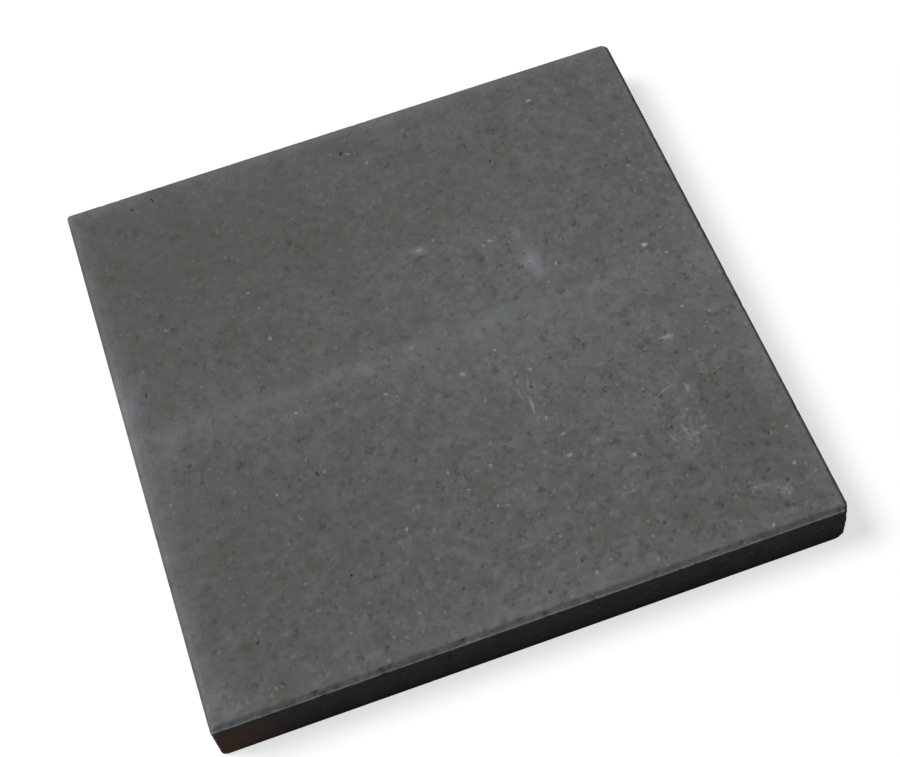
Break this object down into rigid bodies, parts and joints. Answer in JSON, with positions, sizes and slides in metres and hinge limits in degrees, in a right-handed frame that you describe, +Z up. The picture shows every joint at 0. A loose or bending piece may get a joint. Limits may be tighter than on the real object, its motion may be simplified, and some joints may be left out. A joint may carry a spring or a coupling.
{
  "type": "concrete paving slab",
  "caption": "Square pressed concrete paving slab with a flat wearing face, a bevelled rim with a narrow lip, plain upright sides and a flat bed, for laying paths and terraces.",
  "frame": {"origin": "middle of the bed, the flat underside that the slab is laid on", "axes": "+Z up through the wearing face, X and Y along the slab's sides, with the side that the picture shows facing -Y"},
  "size_m": [0.4, 0.4, 0.038],
  "materials": {
    "concrete": "matte"
  },
  "bodies": {
    "root": {"paving_slab": "concrete"}
  },
  "joints": []
}
